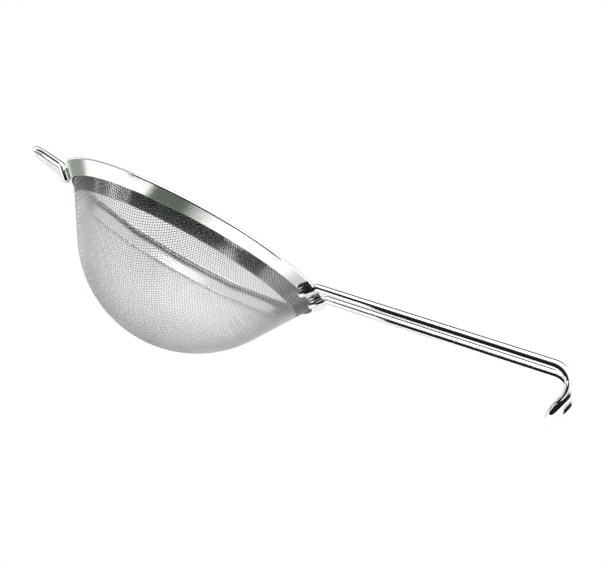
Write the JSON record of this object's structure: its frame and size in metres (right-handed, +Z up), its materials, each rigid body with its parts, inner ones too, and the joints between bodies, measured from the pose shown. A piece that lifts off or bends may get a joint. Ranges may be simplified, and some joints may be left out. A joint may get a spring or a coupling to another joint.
{
  "type": "tea strainer",
  "caption": "Hand-held tea strainer: round woven mesh bowl in a flared sheet rim, folded wire handle with a hooked end, wide wire rest opposite.",
  "frame": {"origin": "centre of the bounding box in plan, at the lowest point of the bowl", "axes": "+Z up along the bowl's axis of revolution, +X towards the handle's hook, rim plane horizontal"},
  "size_m": [0.16, 0.0798, 0.0363],
  "materials": {
    "band_steel": "bright rolled stainless sheet",
    "ring_steel": "bright rolled stainless sheet",
    "mesh_steel": "plain woven stainless wire cloth",
    "wire_steel": "polished stainless wire",
    "rest_steel": "polished stainless wire"
  },
  "bodies": {
    "root": {"rim_band": "band_steel", "clamp_ring": "ring_steel", "mesh_bowl": "mesh_steel", "handle_wire": "wire_steel", "rest_wire": "rest_steel"}
  },
  "joints": []
}
